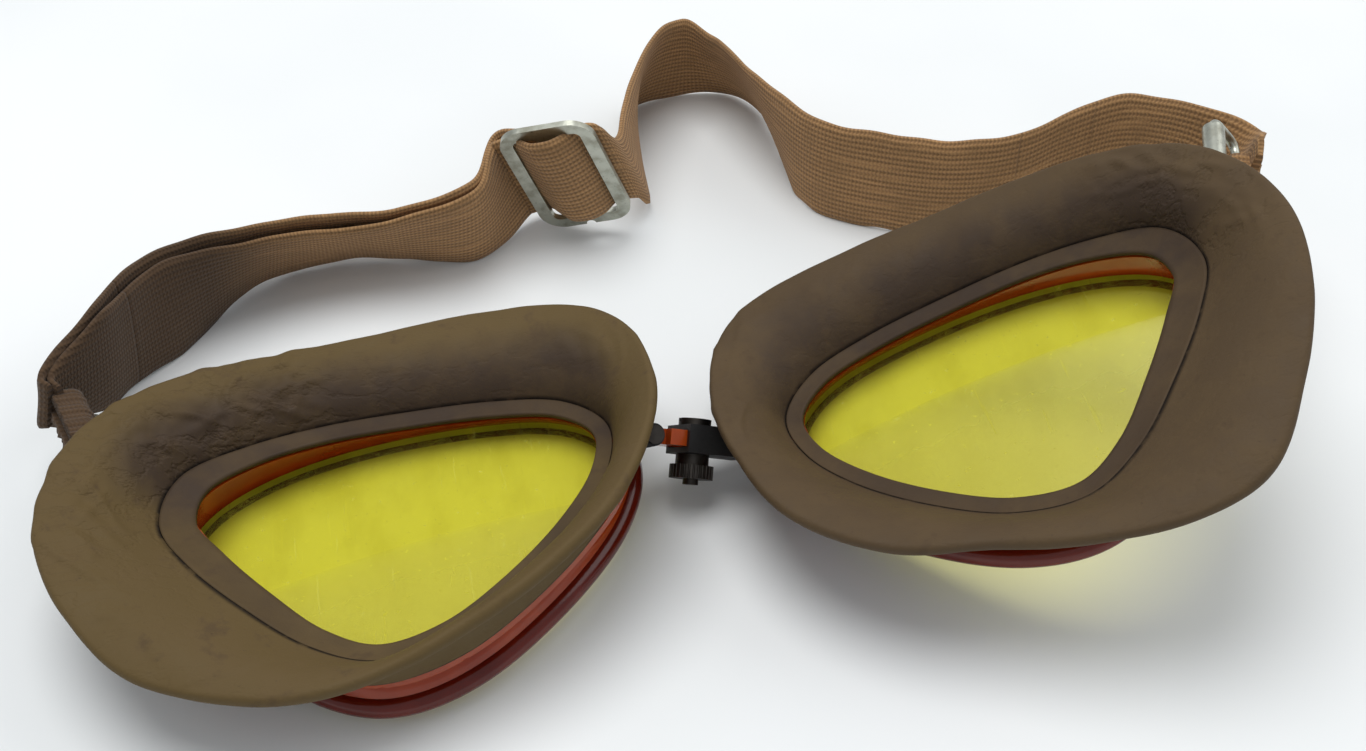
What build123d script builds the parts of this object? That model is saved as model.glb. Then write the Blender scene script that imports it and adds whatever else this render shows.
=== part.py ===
from build123d import *
from math import cos, radians, sin
import os

os.makedirs("parts", exist_ok=True)

# Flying goggles lying lens down on a table: x runs along the pair, +y points to the brow
# edge, +z to the face side. All lengths in millimetres, all angles in degrees.

# Where the two eyecups lie: the nose end of each lens plane, its lift and the cup's tilt
left_nose_x = -15.292
left_nose_y = -24.7
left_nose_lift = 4.22
left_cup_tilt = -4.5
right_nose_x = 15.784
right_nose_y = -24.0
right_nose_lift = 1.259
right_cup_tilt = -22.5

# Lens and the rim that holds it, heights counted from the cup's front plane
lens_length = 60.0
lens_height = 44.0
lens_thickness = 1.4
lens_front = 2.0
lens_clearance = 0.35
eyecup_foot_gap = 0.1
bezel_front = 0.3
bezel_land = 0.55
bezel_lip = 1.2
bezel_lip_thickness = 1.0
bezel_width = 1.7
bead_bulge = 1.4
eyecup_foot_width = 1.6

# Eyecup wall and the flange under the cushion
wall_thickness = 1.6
wall_bulge_share = 0.10
aperture_inset = 2.7
flange_thickness = 1.2
flange_reach = 2.4
rim_height = 11.5
vent_radius = 0.9
vent_height = 6.2
vent_depth = 4.0

# Rubber cushion and the collar sewn inside its seam
crest_reach = 17.5
crest_height = 20.0
skirt_thickness = 2.2
skirt_edge_bulge = 0.7
skirt_crown_share = 0.15
skirt_hollow_share = 0.12
cushion_foot_width = 2.6
collar_width = 2.4
collar_thickness = 1.2
seam_gap = 0.35
seat_gap = 0.15

# Stations round the rim, temple first, then brow, nose and cheek: place of the lens edge,
# reach of the cushion's crest, height of the crest and height of the eyecup's rear rim
station_shares = [
    (0.458, -0.057, 0.73, 1.00, 1.00),
    (0.425, 0.114, 0.58, 0.98, 1.00),
    (0.300, 0.227, 0.54, 0.89, 0.93),
    (0.133, 0.291, 0.55, 0.79, 0.84),
    (-0.067, 0.314, 0.59, 0.73, 0.75),
    (-0.267, 0.300, 0.65, 0.71, 0.71),
    (-0.433, 0.239, 0.68, 0.76, 0.72),
    (-0.530, 0.091, 0.38, 0.91, 0.75),
    (-0.508, -0.114, 0.41, 0.99, 0.79),
    (-0.408, -0.318, 0.53, 0.96, 0.82),
    (-0.267, -0.500, 0.51, 0.86, 0.82),
    (-0.117, -0.632, 0.42, 0.75, 0.82),
    (0.042, -0.670, 0.51, 0.69, 0.82),
    (0.175, -0.580, 0.78, 0.69, 0.87),
    (0.292, -0.409, 0.93, 0.78, 0.95),
    (0.392, -0.227, 0.89, 0.91, 1.00),
]
vent_stations = (11, 12)

# Nose hinges: the same place on both cups, past the lens's nose end
hinge_reach = 6.5
hinge_y = 2.2
hinge_height = 6.8
pin_radius = 0.8
pin_head_radius = 1.3
pin_head_thickness = 0.5
pin_clearance = 0.05
eye_radius = 1.6
eye_width = 2.4
ear_gap = 0.15
ear_thickness = 1.3
lug_base_start = 2.0
lug_base_end = 4.0
lug_relief = 0.3

# Bridge: a flat arm that slides in a clamp, held by a screw and a knurled nut
bridge_lean = 45.0
arm_thickness = 2.2
arm_width = 6.0
arm_length = 12.0
arm_shoulder = 2.4
clamp_wall = 0.8
clamp_clearance = 0.08
clamp_mouth = 4.8
screw_place = 7.2
slide_travel = 2.4
screw_radius = 1.1
screw_head_radius = 2.3
screw_head_thickness = 1.0
screw_tip = 0.8
driver_slot_width = 0.6
driver_slot_depth = 0.5
nut_collar_radius = 2.35
nut_collar_height = 1.5
nut_flange_radius = 3.1
nut_flange_height = 1.9
knurl_step_angle = 12.0
knurl_radius = 0.16
thread_clearance = 0.05
head_gap = 0.05

# Temple lugs: a tongue of the eyecup, a sheet-metal lug riveted under it, and a wire loop,
# each with a reach counted from the lens's temple end
tongue_inner_reach = -3.5
tongue_inner_low_y = -4.0
tongue_inner_high_y = 7.0
tongue_outer_low_reach = 1.1
tongue_outer_low_y = 2.0
tongue_outer_high_reach = 4.6
tongue_outer_high_y = 12.0
lug_sheet = 0.8
lug_seat_gap = 0.1
lug_axis_low_reach = 3.7
lug_axis_low_y = 4.0
lug_axis_high_reach = 11.3
lug_axis_high_y = 25.5
lug_eye_margin = 2.2
lug_sheet_reach = 0.5
rivet_radius = 0.7
rivet_head_radius = 1.2
rivet_head_thickness = 0.4
rivet_spacing = 5.5
rivet_inset = 1.4
wire_radius = 0.7
wire_clearance = 0.1
wire_corner = 2.0
loop_depth = 6.5
left_loop_swing = 75.0
right_loop_swing = -70.0

# Webbing strap: width, thickness and the wrap round each wire loop
strap_width = 19.0
strap_thickness = 1.3
wrap_clearance = 0.2
wrap_leg = 1.2
gathered_width = 10.0
wrap_end_gap = 0.6
left_wrap_width = 11.0
left_wrap_shift = 4.0
left_wrap_swing = 20.0
right_wrap_width = 17.0
right_wrap_shift = 0.0
right_wrap_swing = -25.0
layer_gap = 0.3

# Slide buckle with its middle bar, placed along the strap's half span, reach and width
buckle_span_share = -0.1389
buckle_reach_share = 0.49
buckle_lift_share = 0.7421
buckle_heading_angle = -16.0
buckle_turn_angle = 15.0
buckle_lean_angle = 16.0
buckle_length = 15.5
buckle_side_gap = 1.05
buckle_thickness = 1.0
buckle_border = 2.2
buckle_corner = 4.0
buckle_bar = 2.4
buckle_notch_radius = 0.8
window_corner = 1.2

# The strap's way over the table, from the left loop to the right one: how far it goes past
# the outer end of a lens, and how far behind the cups
strap_overhang = 30.0
strap_reach = 70.0

# Stations of the webbing: x, y, lift of its lower edge, heading and lean of its width
left_route_shares = [
    (-1.004, 0.040, 0.110, 0.98, -0.10),
    (-0.930, 0.150, 0.060, 0.68, -0.08),
    (-0.840, 0.270, 0.020, 0.48, -0.05),
    (-0.690, 0.412, 0.040, 0.18, -0.33),
    (-0.550, 0.450, 0.045, 0.02, -0.42),
    (-0.440, 0.435, 0.040, 0.00, -0.34),
    (-0.310, 0.440, 0.030, 0.06, -0.20),
]
middle_route_shares = [
    (-0.042, 0.520, 0.100, 0.72, 0.12),
    (-0.028, 0.595, 0.020, 0.72, 0.10),
    (0.000, 0.790, 0.015, 0.88, 0.00),
    (0.048, 0.940, 0.015, 0.55, -0.20),
    (0.140, 1.000, 0.015, 0.00, -0.14),
    (0.215, 0.960, 0.020, -0.48, -0.30),
    (0.255, 0.850, 0.040, -0.82, -0.28),
    (0.278, 0.660, 0.015, -0.94, -0.16),
    (0.300, 0.545, 0.015, -0.72, -0.05),
    (0.350, 0.465, 0.015, -0.35, 0.00),
    (0.460, 0.390, 0.015, -0.28, 0.00),
    (0.555, 0.343, 0.040, -0.15, 0.00),
    (0.645, 0.310, 0.150, -0.08, 0.00),
]
right_route_shares = [
    (0.720, 0.300, 0.330, -0.03, 0.00),
    (0.820, 0.280, 0.500, -0.16, 0.00),
    (0.905, 0.190, 0.590, -0.62, 0.05),
    (0.950, 0.080, 0.620, -0.80, 0.30),
]

overrun = 20.0
full_turn = 360.0
lens_half = lens_length / 2
hinge_x = lens_half + hinge_reach
tongue_inner_x = lens_half + tongue_inner_reach
tongue_outer_low_x = lens_half + tongue_outer_low_reach
tongue_outer_high_x = lens_half + tongue_outer_high_reach
lug_axis_low_x = lens_half + lug_axis_low_reach
lug_axis_high_x = lens_half + lug_axis_high_reach
lug_sheet_start = lens_half + lug_sheet_reach
strap_half_span = lens_length + strap_overhang
buckle_height = strap_width + 2 * buckle_border + 2 * buckle_side_gap
temple_signs = {"left": -1, "right": 1}


def cup_frame(side, nose_x, nose_y, nose_lift, tilt):
    """The cup's own plane: origin at its centre on the front plane, z towards the face."""
    turn = radians(tilt)
    x_dir = Vector(cos(turn), 0, -sin(turn))
    return Plane(
        origin=Vector(nose_x, nose_y, nose_lift) + x_dir * (temple_signs[side] * lens_half),
        x_dir=x_dir,
        z_dir=(sin(turn), 0, cos(turn)),
    )


cup_frames = {
    "left": cup_frame("left", left_nose_x, left_nose_y, left_nose_lift, left_cup_tilt),
    "right": cup_frame("right", right_nose_x, right_nose_y, right_nose_lift, right_cup_tilt),
}
nose_station = min(range(len(station_shares)), key=lambda index: station_shares[index][0])
loop_swings = {"left": left_loop_swing, "right": right_loop_swing}
wrap_swings = {"left": left_wrap_swing, "right": right_wrap_swing}
wrap_widths = {"left": left_wrap_width, "right": right_wrap_width}
wrap_shifts = {"left": left_wrap_shift, "right": right_wrap_shift}
quarter_turn = 90.0
wrap_inner = wire_radius + wrap_clearance
wrap_outer = wrap_inner + strap_thickness
sides = ("left", "right")
pieces = []


def keep(part, name):
    """Label a finished piece and put it on the list of pieces to write."""
    part.label = name
    pieces.append(part)


def at_cup(side, x, y, height):
    """A place on a cup, with x counted towards its temple."""
    return cup_frames[side].from_local_coords(Vector(temple_signs[side] * x, y, height))


def along_cup(side, x, y, height):
    """A direction on a cup, with x counted towards its temple."""
    return (at_cup(side, x, y, height) - at_cup(side, 0, 0, 0)).normalized()


def rim_point(index):
    """The lens edge at one station, in the cup's own x and y."""
    shares = station_shares[index % len(station_shares)]
    return Vector(shares[0] * lens_length, shares[1] * lens_height, 0)


def outward(index):
    """The direction away from the lens at one station, square to its neighbours' chord."""
    chord = rim_point(index + 1) - rim_point(index - 1)
    return Vector(chord.Y, -chord.X, 0).normalized()


def section_plane(side, index):
    """An upright plane across the rim: x points outward, y up from the front plane."""
    place = rim_point(index)
    way = outward(index)
    x_dir = along_cup(side, way.X, way.Y, 0)
    return Plane(
        origin=at_cup(side, place.X, place.Y, 0),
        x_dir=x_dir,
        z_dir=x_dir.cross(cup_frames[side].z_dir),
    )


def crown(start, end, share):
    """The middle point of an arc that rises over the line from start to end."""
    run = end[0] - start[0]
    rise = end[1] - start[1]
    return (start[0] + run / 2 - rise * share, start[1] + rise / 2 + run * share)


def ring(side, profile):
    """A closed ring lofted through one profile at each station round the rim."""
    sections = [profile(side, index) for index in range(len(station_shares))]
    with BuildPart() as body:
        loft(sections=sections + sections[:1])
    return body.part


def rear_rim(index):
    """The height of the collar's top, which ends the eyecup at one station."""
    return station_shares[index][4] * rim_height


def lens_back():
    return lens_front + lens_thickness


def bezel_section(side, index):
    front_corner = (bezel_width, bezel_front)
    back_corner = (eyecup_foot_width, lens_back())
    with BuildSketch(section_plane(side, index)) as sketch:
        with BuildLine():
            Line((-bezel_lip, lens_front - bezel_lip_thickness), front_corner)
            ThreePointArc(
                front_corner,
                (bezel_width + bead_bulge, (bezel_front + lens_back()) / 2),
                back_corner,
            )
            Polyline(
                back_corner,
                (lens_clearance, lens_back()),
                (lens_clearance, lens_front),
                (-bezel_lip, lens_front),
                (-bezel_lip, lens_front - bezel_lip_thickness),
            )
        make_face()
    return sketch.sketch.face()


def eyecup_section(side, index):
    flange_top = rear_rim(index) - collar_thickness - seat_gap
    flange_foot = flange_top - flange_thickness
    inner_top = -aperture_inset
    outer_top = inner_top + wall_thickness
    foot_out = (eyecup_foot_width, lens_back() + eyecup_foot_gap)
    foot_in = (foot_out[0] - wall_thickness - lens_clearance, foot_out[1])
    with BuildSketch(section_plane(side, index)) as sketch:
        with BuildLine():
            Line(foot_in, foot_out)
            ThreePointArc(
                foot_out,
                crown((outer_top, flange_foot), foot_out, wall_bulge_share),
                (outer_top, flange_foot),
            )
            Polyline(
                (outer_top, flange_foot),
                (flange_reach, flange_foot),
                (flange_reach, flange_top),
                (inner_top, flange_top),
                foot_in,
            )
        make_face()
    return sketch.sketch.face()


def cushion_section(side, index):
    shares = station_shares[index]
    inner = collar_width + seam_gap - aperture_inset
    start = (inner, rear_rim(index))
    end = (shares[2] * crest_reach, shares[3] * crest_height)
    under_end = (end[0], end[1] - skirt_thickness)
    under_start = (inner + cushion_foot_width, rear_rim(index) - collar_thickness)
    with BuildSketch(section_plane(side, index)) as sketch:
        with BuildLine():
            ThreePointArc(start, crown(start, end, skirt_crown_share), end)
            ThreePointArc(
                end,
                (end[0] + skirt_edge_bulge, end[1] - skirt_thickness / 2),
                under_end,
            )
            ThreePointArc(
                under_end,
                crown(under_start, under_end, skirt_hollow_share),
                under_start,
            )
            Polyline(under_start, (inner, under_start[1]), start)
        make_face()
    return sketch.sketch.face()


def collar_section(side, index):
    top = rear_rim(index)
    with BuildSketch(section_plane(side, index)) as sketch:
        with BuildLine():
            Polyline(
                (-aperture_inset, top - collar_thickness),
                (collar_width - aperture_inset, top - collar_thickness),
                (collar_width - aperture_inset, top),
                (-aperture_inset, top),
                close=True,
            )
        make_face()
    return sketch.sketch.face()


def hinge_place(side):
    return at_cup(side, -hinge_x, hinge_y, hinge_height)


# The bridge's own plane: x from the left hinge to the right one, z along the clamp screw,
# y along both hinge pins
bridge_run = hinge_place("right") - hinge_place("left")
bridge_span = bridge_run.length
bridge_along = bridge_run.normalized()
lean_way = Vector(0, sin(radians(bridge_lean)), cos(radians(bridge_lean)))
pin_way = lean_way.cross(bridge_along).normalized()
bridge_plane = Plane(
    origin=hinge_place("left"),
    x_dir=bridge_along,
    z_dir=bridge_along.cross(pin_way),
)
nose_edge = -station_shares[nose_station][0] * lens_length
ear_inner = eye_width / 2 + ear_gap
ear_outer = ear_inner + ear_thickness


def on_bridge(x, y, z):
    return bridge_plane.from_local_coords(Vector(x, y, z))


def bridge_side_plane(offset):
    """A plane along the bridge, square to the pins, offset along them."""
    return Plane(
        origin=on_bridge(0, offset, 0),
        x_dir=bridge_plane.x_dir,
        z_dir=bridge_plane.y_dir * -1,
    )


def bridge_level(height):
    """A plane square to the clamp screw, at a height along it."""
    return Plane(
        origin=on_bridge(0, 0, height),
        x_dir=bridge_plane.x_dir,
        z_dir=bridge_plane.z_dir,
    )


def make_lens(side):
    frame = cup_frames[side]
    sign = temple_signs[side]
    points = [rim_point(index) for index in range(len(station_shares))]
    with BuildPart() as lens:
        with BuildSketch(frame.offset(lens_front)):
            with BuildLine():
                Spline(*[(sign * point.X, point.Y) for point in points], periodic=True)
            make_face()
        extrude(amount=lens_thickness)
    return lens.part


def lug_plane(side, offset):
    """A plane square to a hinge pin, offset along it, with its x pointing into the cup."""
    into = along_cup(side, 1, 0, 0)
    return Plane(
        origin=hinge_place(side) + pin_way * offset,
        x_dir=(into - pin_way * into.dot(pin_way)).normalized(),
        z_dir=pin_way,
    )


def lug_block(side, reach, clearance):
    """A block round the hinge, from past its eye to a reach towards the cup."""
    front = eye_radius + clearance
    with BuildPart() as block:
        with BuildSketch(lug_plane(side, 0)):
            with Locations(((reach - front) / 2, 0)):
                Rectangle(reach + front, 2 * eye_radius + 2 * clearance)
        extrude(amount=ear_outer + pin_head_thickness + clearance, both=True)
    return block.part


def make_nose_boss(side):
    """The block moulded on the eyecup's nose wall, between its foot and its flange."""
    length = hinge_x - lug_base_end - nose_edge + aperture_inset - wall_thickness / 2
    level = rear_rim(nose_station) - collar_thickness - seat_gap
    foot = lens_back() + eyecup_foot_gap
    with BuildPart() as boss:
        with BuildSketch(lug_plane(side, 0)):
            with Locations((lug_base_end + length / 2, 0)):
                Rectangle(length, 2 * eye_radius)
        extrude(amount=ear_outer, both=True)
        for height, way in ((level, 1), (foot, -1)):
            with BuildSketch(temple_plane(height, side)):
                Rectangle(2 * hinge_x + overrun, overrun)
            extrude(amount=way * overrun, mode=Mode.SUBTRACT)
    return boss.part


def make_nose_lug(side):
    """Two ears on a base, with the pin's hole through both."""
    with BuildPart() as lug:
        with BuildSketch(lug_plane(side, 0)):
            Circle(eye_radius)
            with Locations((lug_base_end / 2, 0)):
                Rectangle(lug_base_end, 2 * eye_radius)
        extrude(amount=ear_outer, both=True)
        with BuildSketch(lug_plane(side, 0)):
            with Locations((lug_base_start - overrun / 2, 0)):
                Rectangle(overrun, overrun)
        extrude(amount=ear_inner, both=True, mode=Mode.SUBTRACT)
        with BuildSketch(lug_plane(side, 0)):
            Circle(pin_radius + pin_clearance)
        extrude(amount=overrun, both=True, mode=Mode.SUBTRACT)
    return lug.part


def make_hinge_pin(side):
    """A headed pin, its heads seated on the two ears."""
    with BuildPart() as pin:
        with BuildSketch(lug_plane(side, 0)):
            Circle(pin_radius)
        extrude(amount=ear_outer, both=True)
        for way in (-1, 1):
            with BuildSketch(lug_plane(side, way * ear_outer)):
                Circle(pin_head_radius)
            extrude(amount=way * pin_head_thickness)
    return pin.part


def temple_plane(height, side):
    return cup_frames[side].offset(height)


def temple_points(side, points):
    sign = temple_signs[side]
    return [(sign * x, y) for x, y in points]


lug_axis_low = Vector(lug_axis_low_x, lug_axis_low_y, 0)
lug_axis_high = Vector(lug_axis_high_x, lug_axis_high_y, 0)
lug_axis_way = (lug_axis_high - lug_axis_low).normalized()
lug_axis_middle = (lug_axis_high + lug_axis_low) / 2
lug_axis_length = (lug_axis_high - lug_axis_low).length
lug_out_way = Vector(lug_axis_way.Y, -lug_axis_way.X, 0)
tongue_top = rim_height - collar_thickness - seat_gap
tongue_foot = tongue_top - flange_thickness
lug_eye_radius = wire_radius + wire_clearance + lug_sheet
lug_top = tongue_foot - lug_seat_gap
lug_axis_height = lug_top - lug_sheet / 2


def make_tongue(side):
    """The flat tongue that carries the temple lug, level with the flange."""
    with BuildPart() as tongue:
        with BuildSketch(temple_plane(tongue_foot, side)):
            with BuildLine():
                Polyline(
                    *temple_points(
                        side,
                        [
                            (tongue_inner_x, tongue_inner_low_y),
                            (tongue_outer_low_x, tongue_outer_low_y),
                            (tongue_outer_high_x, tongue_outer_high_y),
                            (tongue_inner_x, tongue_inner_high_y),
                        ],
                    ),
                    close=True,
                )
            make_face()
        extrude(amount=flange_thickness)
    return tongue.part


def rivet_places(side):
    """Both rivets, set in from the tongue's outer edge."""
    low = Vector(tongue_outer_low_x, tongue_outer_low_y, 0)
    high = Vector(tongue_outer_high_x, tongue_outer_high_y, 0)
    middle = (low + high) / 2
    way = (high - low).normalized()
    inward = Vector(-way.Y, way.X, 0)
    sign = temple_signs[side]
    places = []
    for step in (-1, 1):
        place = middle + inward * rivet_inset + way * (step * rivet_spacing / 2)
        places.append((sign * place.X, place.Y))
    return places


def axis_plane(side, reach):
    """A plane square to the lug's eye, at a reach along the eye from its middle.

    Its x points out from the cup and its y up, seen along the eye."""
    place = lug_axis_middle + lug_axis_way * reach
    x_dir = along_cup(side, lug_out_way.X, lug_out_way.Y, 0)
    return Plane(
        origin=at_cup(side, place.X, place.Y, lug_axis_height),
        x_dir=x_dir,
        z_dir=x_dir.cross(cup_frames[side].z_dir),
    )


def make_temple_lug(side):
    """Sheet metal under the tongue, rolled into an eye for the wire loop."""
    eye_length = lug_axis_length - 2 * lug_eye_margin
    low = lug_axis_low + lug_axis_way * lug_eye_margin
    high = lug_axis_high - lug_axis_way * lug_eye_margin
    with BuildPart() as lug:
        with BuildSketch(temple_plane(lug_top - lug_sheet, side)):
            with BuildLine():
                Polyline(
                    *temple_points(
                        side,
                        [
                            (lug_sheet_start, tongue_outer_low_y),
                            (tongue_outer_low_x, tongue_outer_low_y),
                            (low.X, low.Y),
                            (high.X, high.Y),
                            (tongue_outer_high_x, tongue_outer_high_y),
                            (lug_sheet_start, tongue_outer_high_y - lug_eye_margin),
                        ],
                    ),
                    close=True,
                )
            make_face()
        extrude(amount=lug_sheet)
        with BuildSketch(axis_plane(side, 0)):
            Circle(lug_eye_radius)
        extrude(amount=eye_length / 2, both=True)
        with BuildSketch(axis_plane(side, 0)):
            Circle(wire_radius + wire_clearance)
        extrude(amount=lug_axis_length, both=True, mode=Mode.SUBTRACT)
        with BuildSketch(temple_plane(lug_top - lug_sheet, side)):
            with Locations(*rivet_places(side)):
                Circle(rivet_radius)
        extrude(amount=overrun, both=True, mode=Mode.SUBTRACT)
    return lug.part


def make_temple_rivets(side):
    """Two rivets, a head under the lug and one over the tongue."""
    with BuildPart() as rivets:
        with BuildSketch(temple_plane(lug_top - lug_sheet, side)):
            with Locations(*rivet_places(side)):
                Circle(rivet_radius)
        extrude(amount=lug_sheet + lug_seat_gap + flange_thickness)
        for height, way in ((lug_top - lug_sheet, -1), (tongue_top, 1)):
            with BuildSketch(temple_plane(height, side)):
                with Locations(*rivet_places(side)):
                    Circle(rivet_head_radius)
            extrude(amount=way * rivet_head_thickness)
    return rivets.part


def loop_plane(side):
    """The wire loop's plane: x along the lug's eye, y from the eye to the strap's bar."""
    swing = radians(loop_swings[side])
    out = lug_out_way * cos(swing)
    y_dir = along_cup(side, out.X, out.Y, sin(swing))
    x_dir = along_cup(side, lug_axis_way.X, lug_axis_way.Y, 0)
    return Plane(
        origin=at_cup(side, lug_axis_middle.X, lug_axis_middle.Y, lug_axis_height),
        x_dir=x_dir,
        z_dir=x_dir.cross(y_dir),
    )


def make_strap_loop(side):
    """A rectangle of round wire with rounded corners."""
    half = lug_axis_length / 2
    with BuildPart() as loop:
        with BuildLine(loop_plane(side)):
            outline = FilletPolyline(
                (-half, 0), (half, 0), (half, loop_depth), (-half, loop_depth),
                radius=wire_corner,
                close=True,
            )
        with BuildSketch(Plane(origin=outline @ 0, z_dir=outline % 0)):
            Circle(wire_radius)
        sweep(path=outline)
    return loop.part


def wrap_plane(side):
    """The plane across the loop's outer bar: x along the webbing's legs, z along the bar."""
    swing = radians(wrap_swings[side])
    out = lug_out_way * cos(swing)
    bar = loop_plane(side)
    return Plane(
        origin=bar.from_local_coords(Vector(wrap_shifts[side], loop_depth, 0)),
        x_dir=along_cup(side, out.X, out.Y, sin(swing)),
        z_dir=bar.x_dir,
    )


def make_strap_wrap(side):
    """The webbing's fold round the wire loop's outer bar."""
    with BuildPart() as wrap:
        with BuildSketch(wrap_plane(side)):
            Circle(wrap_outer)
            with Locations((wrap_leg / 2, 0)):
                Rectangle(wrap_leg, 2 * wrap_outer)
            Circle(wrap_inner, mode=Mode.SUBTRACT)
            with Locations(((wrap_leg + overrun) / 2, 0)):
                Rectangle(wrap_leg + overrun, 2 * wrap_inner, mode=Mode.SUBTRACT)
        extrude(amount=wrap_widths[side] / 2, both=True)
    return wrap.part


def webbing(stations):
    """Webbing lofted through a rectangle at each station: place, heading, way and width."""
    sections = []
    for place, heading, width_way, width in stations:
        across = (width_way - heading * width_way.dot(heading)).normalized()
        with BuildSketch(Plane(origin=place, x_dir=across, z_dir=heading)) as sketch:
            Rectangle(width, strap_thickness)
        sections.append(sketch.sketch.face())
    with BuildPart() as stretch:
        loft(sections=sections, ruled=True)
    return stretch.part


def route_station(shares, offset):
    """A station of the strap's way over the table, moved square to its face by offset."""
    x, y, lift, heading_share, lean_share = shares
    heading = radians(heading_share * quarter_turn)
    lean = radians(lean_share * quarter_turn)
    aside = Vector(sin(heading), -cos(heading), 0)
    half_height = strap_width / 2 * cos(lean) + strap_thickness / 2 * abs(sin(lean))
    place = Vector(x * strap_half_span, y * strap_reach, lift * strap_width + half_height)
    return (
        place + (aside * cos(lean) + Vector(0, 0, 1) * sin(lean)) * offset,
        Vector(cos(heading), sin(heading), 0),
        Vector(0, 0, 1) * cos(lean) - aside * sin(lean),
        strap_width,
    )


def wrap_end_station(side, step, way):
    """The gathered webbing at the brow end of its wrap, a step out from the wire's bar."""
    plane = wrap_plane(side)
    reach = wrap_widths[side] / 2 + layer_gap
    place = plane.from_local_coords(Vector(step, 0, reach))
    return (place, plane.z_dir * way, plane.y_dir * -temple_signs[side], gathered_width)


for side in sides:
    boss = make_nose_boss(side)
    tongue = make_tongue(side)
    with BuildPart() as eyecup:
        add(ring(side, eyecup_section))
        add(lug_block(side, lug_base_end, pin_clearance), mode=Mode.SUBTRACT)
        add(boss)
        add(tongue)
        for index in vent_stations:
            plane = section_plane(side, index)
            hole_plane = Plane(
                origin=plane.from_local_coords(Vector(0, vent_height, 0)),
                z_dir=plane.x_dir,
            )
            with BuildSketch(hole_plane):
                Circle(vent_radius)
            extrude(amount=vent_depth, both=True, mode=Mode.SUBTRACT)
        with BuildSketch(temple_plane(tongue_foot, side)):
            with Locations(*rivet_places(side)):
                Circle(rivet_radius)
        extrude(amount=flange_thickness, mode=Mode.SUBTRACT)
    keep(eyecup.part, f"{side}_eyecup")
    keep(make_lens(side), f"{side}_lens")
    with BuildPart() as lens_rim:
        add(ring(side, bezel_section))
        with BuildSketch(temple_plane(bezel_land, side)):
            Rectangle(lens_length + overrun, lens_height + 2 * overrun)
        extrude(amount=-overrun, mode=Mode.SUBTRACT)
    keep(lens_rim.part, f"{side}_lens_rim")
    with BuildPart() as cushion:
        add(ring(side, cushion_section))
        add(lug_block(side, lug_base_end, lug_relief), mode=Mode.SUBTRACT)
    keep(cushion.part, f"{side}_cushion")
    keep(ring(side, collar_section), f"{side}_cushion_collar")
    keep(make_nose_lug(side), f"{side}_nose_lug")
    keep(make_hinge_pin(side), f"{side}_hinge_pin")
    keep(make_temple_lug(side), f"{side}_temple_lug")
    keep(make_temple_rivets(side), f"{side}_temple_rivets")
    keep(make_strap_loop(side), f"{side}_strap_loop")
    keep(make_strap_wrap(side), f"{side}_strap_wrap")


# The bridge: arm, clamp, screw and nut
clamp_half = arm_thickness / 2 + clamp_clearance + clamp_wall
channel_end = arm_length + slide_travel + clamp_clearance
with BuildPart() as bridge_arm:
    with BuildSketch(bridge_side_plane(0)):
        Circle(eye_radius)
        with Locations((arm_length / 2, 0)):
            Rectangle(arm_length, arm_thickness)
    extrude(amount=arm_width / 2, both=True)
    for way in (-1, 1):
        with BuildSketch(bridge_side_plane(way * eye_width / 2)):
            with Locations((arm_shoulder - overrun / 2, 0)):
                Rectangle(overrun, overrun)
        extrude(amount=-way * overrun, mode=Mode.SUBTRACT)
    with BuildSketch(bridge_side_plane(0)):
        Circle(pin_radius + pin_clearance)
    extrude(amount=overrun, both=True, mode=Mode.SUBTRACT)
    with BuildSketch(bridge_level(0)):
        with Locations((screw_place, 0)):
            SlotCenterToCenter(2 * slide_travel, 2 * (screw_radius + thread_clearance))
    extrude(amount=overrun, both=True, mode=Mode.SUBTRACT)
keep(bridge_arm.part, "bridge_arm")

with BuildPart() as bridge_clamp:
    body_length = channel_end + clamp_wall - clamp_mouth
    with BuildSketch(bridge_side_plane(0)):
        with Locations((clamp_mouth + body_length / 2, 0)):
            Rectangle(body_length, 2 * clamp_half)
    extrude(amount=arm_width / 2 + clamp_clearance + clamp_wall, both=True)
    with BuildSketch(bridge_side_plane(0)):
        with Locations((bridge_span, 0)):
            Circle(eye_radius)
        with Locations(((channel_end + clamp_wall + bridge_span) / 2, 0)):
            Rectangle(bridge_span - channel_end - clamp_wall, 2 * eye_radius)
    extrude(amount=eye_width / 2, both=True)
    with BuildSketch(bridge_side_plane(0)):
        with Locations((channel_end - overrun / 2, 0)):
            Rectangle(overrun, arm_thickness + 2 * clamp_clearance)
    extrude(amount=arm_width / 2 + clamp_clearance, both=True, mode=Mode.SUBTRACT)
    with BuildSketch(bridge_side_plane(0)):
        with Locations((bridge_span, 0)):
            Circle(pin_radius + pin_clearance)
    extrude(amount=overrun, both=True, mode=Mode.SUBTRACT)
    with BuildSketch(bridge_level(0)):
        with Locations((screw_place, 0)):
            Circle(screw_radius + thread_clearance)
    extrude(amount=overrun, both=True, mode=Mode.SUBTRACT)
keep(bridge_clamp.part, "bridge_clamp")

nut_height = nut_collar_height + nut_flange_height
nut_top = -clamp_half - head_gap
with BuildPart() as bridge_screw:
    with BuildSketch(bridge_level(clamp_half)):
        with Locations((screw_place, 0)):
            Circle(screw_head_radius)
    extrude(amount=screw_head_thickness)
    with BuildSketch(bridge_level(clamp_half + screw_head_thickness)):
        with Locations((screw_place, 0)):
            Rectangle(2 * screw_head_radius + overrun, driver_slot_width)
    extrude(amount=-driver_slot_depth, mode=Mode.SUBTRACT)
    with BuildSketch(bridge_level(clamp_half)):
        with Locations((screw_place, 0)):
            Circle(screw_radius)
    extrude(amount=nut_top - nut_height - screw_tip - clamp_half)
keep(bridge_screw.part, "bridge_screw")

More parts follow.
